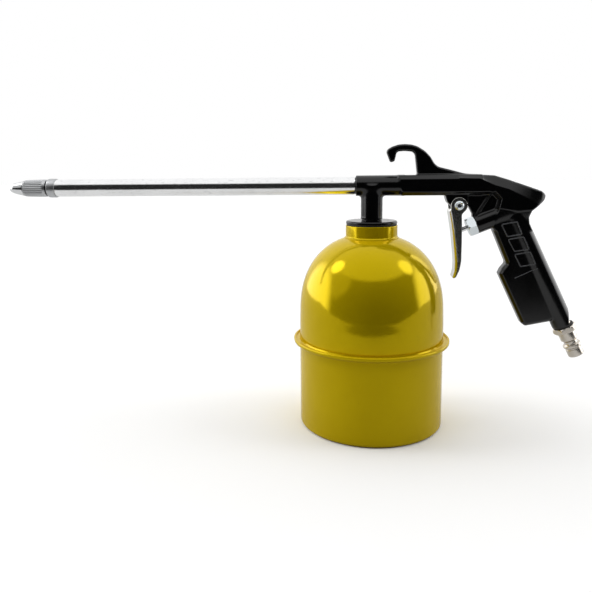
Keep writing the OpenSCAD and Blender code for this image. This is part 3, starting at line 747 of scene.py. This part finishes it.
# ------------------------------------------------------------------ lance and nozzle
def build_lance():
    L = lance_frame()
    o = [(6.2, 12.0), (6.2, 231.5), (5.2, 231.5), (5.2, 8.0), (4.1, 6.0), (4.1, -5.0), (5.0, -5.0), (5.0, 10.9), (5.7, 11.0)]
    prof = round_path([(r, t) for r, t in o], [0.3, 0.15, 0.1, 0, 0, 0.1, 0.2, 0.1, 0.3], closed=True, steps=4)
    fixed = []
    for i, p in enumerate(prof):
        q = prof[(i + 1) % len(prof)]
        fixed.append(p)
        steps = int(abs(q[1] - p[1]) // 12)
        for s in range(1, steps):
            fixed.append((p[0] + (q[0] - p[0]) * s / steps, p[1] + (q[1] - p[1]) * s / steps))
    ob = lathe("lance", fixed, L, segs=128, sharp=45)
    dress(ob, LANCE, "gun", "lance_steel", "lance_tube")
    # fixed collar, with turned steps
    o = [(6.2, 226.6), (6.5, 226.6), (6.8, 227.3), (6.8, 232.7), (4.9, 232.7), (4.9, 245.1), (3.8, 245.1), (3.8, 231.6), (6.2, 231.6)]
    prof = round_path(o, [0.1, 0.3, 0.4, 0.5, 0.2, 0.4, 0.2, 0.1, 0.05], closed=True, steps=5)
    dress(lathe("collar", prof, L, segs=128, sharp=45), NOZZLE, "gun", "nozzle_zinc", "nozzle_collar")

    # sleeve with a straight knurl
    def knurl(r, t, a):
        if r < 5.4 or t < 235.8 or t > 250.7:
            return r
        w = min(1.0, (t - 235.8) / 0.5, (250.7 - t) / 0.5)
        return r + w * (0.26 * (0.5 + 0.5 * math.cos(30 * a)) ** 1.6 - 0.12)
    o = [(5.0, 234.1), (5.95, 234.1), (6.2, 234.7), (6.2, 235.6), (5.82, 250.8), (5.5, 251.3), (4.6, 251.3), (4.6, 246.5), (5.0, 246.5)]
    prof = round_path(o, [0.1, 0.25, 0.2, 0.1, 0.2, 0.3, 0.1, 0.1, 0.1], closed=True, steps=3)
    fine = []
    for i, p in enumerate(prof):
        q = prof[(i + 1) % len(prof)]
        fine.append(p)
        steps = int(math.hypot(q[1] - p[1], q[0] - p[0]) // 0.5) if p[0] > 5.6 and q[0] > 5.6 else 0
        for s in range(1, steps):
            fine.append((p[0] + (q[0] - p[0]) * s / steps, p[1] + (q[1] - p[1]) * s / steps))
    dress(lathe("sleeve", fine, L, segs=300, radius=knurl, sharp=60), NOZZLE, "nozzle", "nozzle_zinc", "nozzle_sleeve")
    o = [(4.6, 246.9), (4.6, 251.35), (5.65, 251.35), (5.62, 251.9), (3.75, 259.7), (3.6, 259.9), (2.6, 262.1), (1.6, 262.1), (1.6, 258.1), (3.9, 251.3), (3.9, 246.9)]
    prof = round_path(o, [0.1, 0.1, 0.25, 0.3, 0.3, 0.3, 0.35, 0.2, 0.2, 0.1, 0.1], closed=True, steps=4)
    dress(lathe("tip", prof, L, segs=128, sharp=50), POLISHED, "nozzle", "polished_steel", "nozzle_tip")


build_lance()

# ------------------------------------------------------------------ trigger
T_FRONT = [(50.9, 153.0), (52.4, 145.0), (53.8, 136.6), (55.2, 125.0), (56.1, 116.0), (56.0, 110.0), (54.6, 104.4)]
T_REAR = [(57.0, 105.6), (59.3, 110.8), (60.2, 116.6), (60.2, 129.6), (60.0, 141.0), (59.6, 149.6)]


def build_trigger():
    h = 0.22
    lo, hi = (49.4, -8.3, 102.8), (64.4, 8.3, 161.2)
    gx, gy, gz = grid(lo, hi, h)
    X2, Z2 = np.meshgrid(gx, gz, indexing="ij")
    Y = gy[None, :, None]
    AY = np.abs(Y)
    e3 = lambda a: a[:, None, :]
    side2 = sd_poly(round_path(T_FRONT + T_REAR, [2, 8, 12, 20, 12, 8, 0.9, 0.9, 5, 8, 8, 4, 0], closed=True, steps=6), X2, Z2)
    ear2 = np.sqrt((X2 - PIN_P[0]) ** 2 + (Z2 - PIN_P[1]) ** 2) - 5.5
    plan2 = smin(side2, ear2, 2.2)
    front = round_path([(42.0, 168.0), (42.0, 154.2)] + T_FRONT + [(53.4, 100.0)], [0, 0, 0.8, 8, 12, 20, 12, 8, 1, 0], steps=6)
    behind2 = sd_poly(front + [(90, 100), (90, 168)], X2, Z2)
    outer = rounded(e3(behind2), AY - TRIG_W / 2 + 0 * e3(X2), 2.9)
    shape = rounded(e3(plan2), outer, 0.3)
    fr = [(p[0] + TRIG_T, p[1] - (1.0 if p[1] < 105 else 0.0)) for p in T_FRONT]
    in2 = sd_poly(round_path([(51.2, 175.0), (51.4, 153.4)] + fr + [(70.0, 104.0), (70.0, 175.0)], 0.8, closed=True, steps=3), X2, Z2)
    inner = rounded(e3(in2), AY - (TRIG_W / 2 - TRIG_T) + 0 * e3(X2), 1.5)
    F = np.maximum(shape, -inner)
    pin2 = np.sqrt((X2 - PIN_P[0]) ** 2 + (Z2 - PIN_P[1]) ** 2) - 2.08
    F = np.maximum(F, -e3(pin2))
    ob = surface("trigger_pressing", F, lo, h)
    dress(ob, TRIG, "trigger", "trigger_steel", "trigger")
    # rivet-like pin: a domed head with a dimple
    M = Matrix(((1, 0, 0, PIN_P[0]), (0, 0, -1, 0), (0, 1, 0, PIN_P[1]), (0, 0, 0, 1)))
    w = TRIG_W / 2
    o = [(0, w + 0.80), (1.5, w + 0.86), (2.0, w + 1.27), (2.2, w + 1.27), (3.1, w + 0.6), (3.1, w + 0.3), (2.0, w + 0.3), (2.0, -w - 0.35), (1.5, -w - 0.35), (1.5, -w - 1.05), (2.0, -w - 1.05), (2.0, -w - 1.8), (0, -w - 1.8)]
    prof = round_path(o, [0, 0.5, 0.3, 0.2, 0.3, 0.15, 0.1, 0.05, 0.05, 0.05, 0.05, 0.35, 0], steps=5)
    dress(lathe("pin", prof, M, segs=72, closed=False, sharp=50), ZINC, "gun", "polished_steel", "trigger_pin")


build_trigger()


# ------------------------------------------------------------------ gland nut, stem, plug
def hexed(af, t0, t1, cham, corner, turn=0.0):
    """Radius rule for a hexagon whose corners are turned to a chamfer at both ends or one."""
    def rule(r, t, a):
        if r < af / 2 - 0.3:
            return r
        a = (a - turn) % (math.pi / 3) - math.pi / 6
        hexr = af / 2 / math.cos(a)
        return min(hexr, r)
    return rule


def build_fittings():
    R = 6 / math.cos(math.pi / 6)
    prof = [(1.68, 0.0), (5.75, 0.0), (6.1, 0.12), (6.45, 0.42), (6.75, 0.9), (R + 0.1, 1.4)]
    prof += [(R + 0.1, t) for t in np.linspace(1.8, 5.2, 8)] + [(R - 0.02, 5.55), (6.2, 5.8), (5.0, 5.8), (5.0, 12.0), (3.2, 12.0), (3.2, 8.4), (1.68, 8.4)]
    nut = lathe("gland", prof, VALVE, segs=240, radius=hexed(12, 0, 5.8, 0.6, 0, math.pi / 6), sharp=25)
    dress(nut, ZINC, "gun", "zinc_steel", "gland_nut")
    o = [(0, -9.3), (1.05, -9.3), (1.6, -8.7), (1.6, 24.2), (0, 24.2)]
    st = lathe("stem_rod", round_path(o, [0, 0.4, 0.4, 0.1, 0], steps=5), VALVE, segs=64, closed=False, sharp=50)
    dress(st, POLISHED, "valve", "polished_steel", "valve_stem")
    R = 7 / math.cos(math.pi / 6)
    hexp = [(5.0, 0.8), (6.75, 0.8), (7.15, 0.95), (7.5, 1.25), (7.8, 1.6), (R + 0.1, 2.0)]
    hexp += [(R + 0.1, t) for t in np.linspace(2.4, 3.6, 4)] + [(7.8, 4.0), (7.5, 4.35), (7.15, 4.65), (6.75, 4.8), (5.0, 4.8)]
    hx = lathe("plug_hex", hexp, INLET, segs=240, radius=hexed(14, 0.8, 4.8, 0.7, 0, 0.0), sharp=25)
    dress(hx, PLUG, "gun", "plug_nickel", "air_plug")
    o = [(5.0, -9.0), (5.0, 4.7), (5.6, 4.75), (5.6, 10.4), (4.3, 11.8), (4.3, 13.6), (5.9, 14.5), (5.9, 15.9), (4.9, 16.8), (4.9, 17.6), (5.25, 17.7), (5.25, 22.4), (4.7, 23.0), (3.6, 23.0), (3.0, 22.0), (3.0, -9.0)]
    prof = round_path(o, [0.3, 0.1, 0.1, 0.5, 0.8, 0.7, 0.5, 0.5, 0.4, 0.15, 0.2, 0.3, 0.3, 0.2, 0.2, 0.2], closed=True, steps=5)
    dress(lathe("plug", prof, INLET, segs=112, sharp=50), PLUG, "gun", "plug_nickel", "air_plug")


build_fittings()


def build_spring():
    """The return spring: drawn wire with closed end coils, built at one fixed length; the real one shortens as the
    valve opens.
    """
    wire, rr, t0, t1, turns, k = 0.35, 3.4, 25.0, 34.6, 6.5, 10
    n = int(turns * 28)
    verts, faces = [], []
    for i in range(n + 1):
        u = i / n
        a = 2 * math.pi * turns * u
        lift = min(1.0, max(0.0, (u * turns - 0.85) / (turns - 1.7)))
        t = t0 + 0.55 * min(1.0, u * turns / 0.85) + (t1 - t0 - 1.1) * lift + 0.55 * min(1.0, max(0.0, (u * turns - turns + 0.85) / 0.85))
        for j in range(k):
            b = 2 * math.pi * j / k
            q = rr + wire * math.cos(b)
            verts.append((q * math.cos(a), q * math.sin(a), t + wire * math.sin(b)))
    for i in range(n):
        for j in range(k):
            faces.append((i * k + j, i * k + (j + 1) % k, (i + 1) * k + (j + 1) % k, (i + 1) * k + j))
    faces += [tuple(range(k))[::-1], tuple(range(n * k, n * k + k))]
    ob = to_object("spring_coil", verts, faces, VALVE, sharp=50)
    fix_normals(ob)
    dress(ob, SPRING, "gun", "spring_steel", "return_spring")
    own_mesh(ob)


build_spring()

# ------------------------------------------------------------------ the parts that stay as the CAD made them
for name, ob in NODES.items():
    table = {"lid_gasket": "rubber_seal", "lid_nut": "polished_steel", "siphon_tube": "dip_plastic", "siphon_strainer": "dip_plastic",
             "lance_seal": "rubber_seal", "inner_fluid_tube": "brass_part", "fluid_bush": "brass_part", "fluid_tip": "brass_part",
             "nozzle_o_ring": "rubber_seal", "pin_clip": "spring_steel", "stem_o_ring": "rubber_seal", "valve_seat": "brass_part",
             "valve_poppet": "brass_part", "poppet_seal": "rubber_seal", "return_spring": "spring_steel", "plug_washer": "rubber_seal"}
    if name in table:
        for s in range(max(1, len(ob.material_slots))):
            if len(ob.material_slots) == 0:
                ob.data.materials.append(SLOT_MATS[table[name]])
            else:
                ob.material_slots[s].material = SLOT_MATS[table[name]]

# ------------------------------------------------------------------ floor, light and camera
floor_me = bpy.data.meshes.new("floor")
S = 6.0
floor_me.from_pydata([(-S, -0.34, 0), (S, -0.34, 0), (S, S, 0), (-S, S, 0)], [], [(0, 1, 2, 3)])
floor = bpy.data.objects.new("floor", floor_me)
bpy.context.scene.collection.objects.link(floor)
fm = bpy.data.materials.new("floor_white")
fm.use_nodes = True
fb = fm.node_tree.nodes["Principled BSDF"]
fb.inputs["Base Color"].default_value = (0.93, 0.93, 0.93, 1)
fb.inputs["Roughness"].default_value = 0.9
fb.inputs["Specular IOR Level"].default_value = 0.0
ft = fm.node_tree
lp = ft.nodes.new("ShaderNodeLightPath")
fmix = ft.nodes.new("ShaderNodeMix")
fmix.data_type = "RGBA"
ft.links.new(lp.outputs["Is Camera Ray"], fmix.inputs["Factor"])
gmix = ft.nodes.new("ShaderNodeMix")
gmix.data_type = "RGBA"
ft.links.new(lp.outputs["Is Glossy Ray"], gmix.inputs["Factor"])
gmix.inputs[6].default_value = (0.22, 0.22, 0.22, 1)
gmix.inputs[7].default_value = (0.66, 0.66, 0.66, 1)
ft.links.new(gmix.outputs[2], fmix.inputs[6])
fmix.inputs[7].default_value = (0.97, 0.97, 0.97, 1)
ft.links.new(fmix.outputs[2], fb.inputs["Base Color"])
floor_me.materials.append(fm)

scene = bpy.context.scene
scene.view_settings.view_transform = "Standard"
scene.view_settings.look = "None"
scene.view_settings.exposure = 0.0
scene.view_settings.gamma = 1.0

world = bpy.data.worlds.new("studio")
scene.world = world
world.use_nodes = True
wt = world.node_tree
bg = wt.nodes["Background"]
bg.inputs["Strength"].default_value = 1.0
tc = wt.nodes.new("ShaderNodeTexCoord")
sep = wt.nodes.new("ShaderNodeSeparateXYZ")
wt.links.new(tc.outputs["Generated"], sep.inputs[0])


def lobe(direction, wide, narrow, level):
    """A soft bright region of the room around a direction, between two cone angles in degrees."""
    v = Vector(direction).normalized()
    n = wt.nodes.new("ShaderNodeVectorMath")
    n.operation = "DOT_PRODUCT"
    wt.links.new(tc.outputs["Generated"], n.inputs[0])
    n.inputs[1].default_value = v
    r = wt.nodes.new("ShaderNodeMapRange")
    r.interpolation_type = "SMOOTHSTEP"
    r.inputs["From Min"].default_value = math.cos(math.radians(wide))
    r.inputs["From Max"].default_value = math.cos(math.radians(narrow))
    r.inputs["To Min"].default_value = 0.0
    r.inputs["To Max"].default_value = level
    wt.links.new(n.outputs["Value"], r.inputs["Value"])
    return r.outputs["Result"]


def wmath(op, a, b):
    n = wt.nodes.new("ShaderNodeMath")
    n.operation = op
    for i, q in enumerate((a, b)):
        if isinstance(q, (int, float)):
            n.inputs[i].default_value = q
        else:
            wt.links.new(q, n.inputs[i])
    return n.outputs[0]


# a soft studio: large diffusers left, right, above and behind, dim in front, white backdrop
room = wmath("MAXIMUM", 0.016, lobe((0.0, 0.0, 1.0), 53, 46, 0.99))
room = wmath("MAXIMUM", room, lobe((-0.75, -0.30, 0.50), 28, 18, 0.55))
room = wmath("MAXIMUM", room, lobe((-0.70, 0.0, 0.71), 13, 8, 4.5))
room = wmath("MAXIMUM", room, lobe((0.70, 0.0, 0.71), 14, 8, 3.2))
room = wmath("MAXIMUM", room, lobe((-0.96, 0.25, 0.05), 40, 24, 3.1))
room = wmath("MAXIMUM", room, lobe((0.94, 0.30, 0.10), 36, 22, 2.5))
room = wmath("MAXIMUM", room, lobe((0.0, 1.0, 0.1), 78, 55, 1.0))
wlp = wt.nodes.new("ShaderNodeLightPath")
wmix = wt.nodes.new("ShaderNodeMix")
wmix.data_type = "FLOAT"
wt.links.new(wlp.outputs["Is Camera Ray"], wmix.inputs["Factor"])
wt.links.new(room, wmix.inputs[2])
wmix.inputs[3].default_value = 1.0
wt.links.new(wmix.outputs[0], bg.inputs["Color"])


az, el, roll = 0.115, 0.149, -0.012
C = Vector((-10.694, -434.942, 183.020)) * MM
d = Vector((-math.sin(az) * math.cos(el), math.cos(az) * math.cos(el), -math.sin(el)))
right = Vector((math.cos(az), math.sin(az), 0))
upv = right.cross(d)
r2 = right * math.cos(roll) + upv * math.sin(roll)
u2 = -right * math.sin(roll) + upv * math.cos(roll)
cam_d = bpy.data.cameras.new("cam")
cam = bpy.data.objects.new("cam", cam_d)
cam.matrix_world = Matrix(((r2.x, u2.x, -d.x, C.x), (r2.y, u2.y, -d.y, C.y), (r2.z, u2.z, -d.z, C.z), (0, 0, 0, 1)))
cam_d.sensor_fit = "HORIZONTAL"
cam_d.sensor_width = 36.0
cam_d.lens = 623.539 / 592 * 36.0
cam_d.shift_x = 11.383 / 592
cam_d.shift_y = -37.870 / 592
cam_d.clip_start = 0.01
cam_d.clip_end = 50
scene.collection.objects.link(cam)
scene.camera = cam
